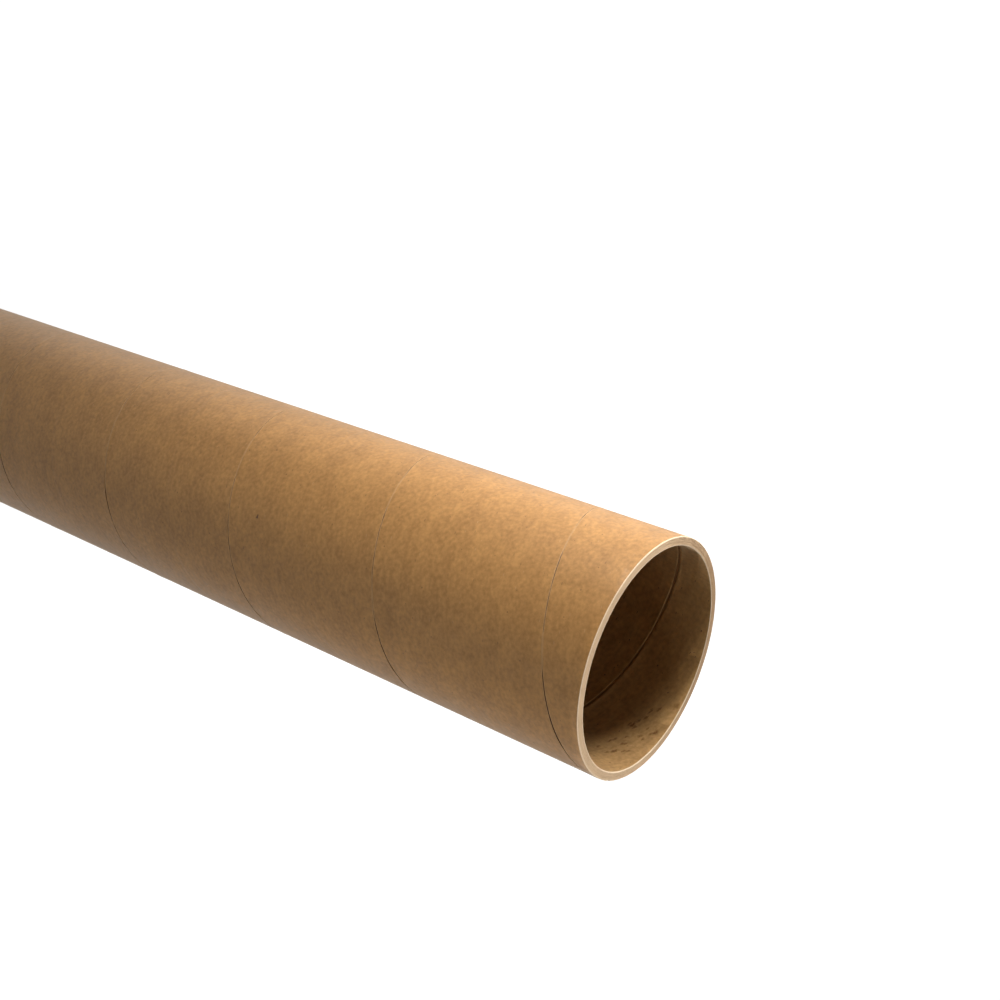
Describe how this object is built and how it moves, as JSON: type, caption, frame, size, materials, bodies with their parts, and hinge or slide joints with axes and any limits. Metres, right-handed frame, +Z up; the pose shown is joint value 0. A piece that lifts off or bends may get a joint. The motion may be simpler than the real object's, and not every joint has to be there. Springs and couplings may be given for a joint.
{
  "type": "cardboard mailing tube",
  "caption": "Long round paperboard tube, spirally wound from butted kraft plies and open at both ends, for posting rolled papers.",
  "frame": {"origin": "centre of the lower rim", "axes": "+Z up along the tube's axis; the outer seam meets the upper rim near +X"},
  "size_m": [0.108, 0.108, 0.64],
  "materials": {
    "kraft_board": "matte"
  },
  "bodies": {
    "root": {"tube": "kraft_board"}
  },
  "joints": []
}
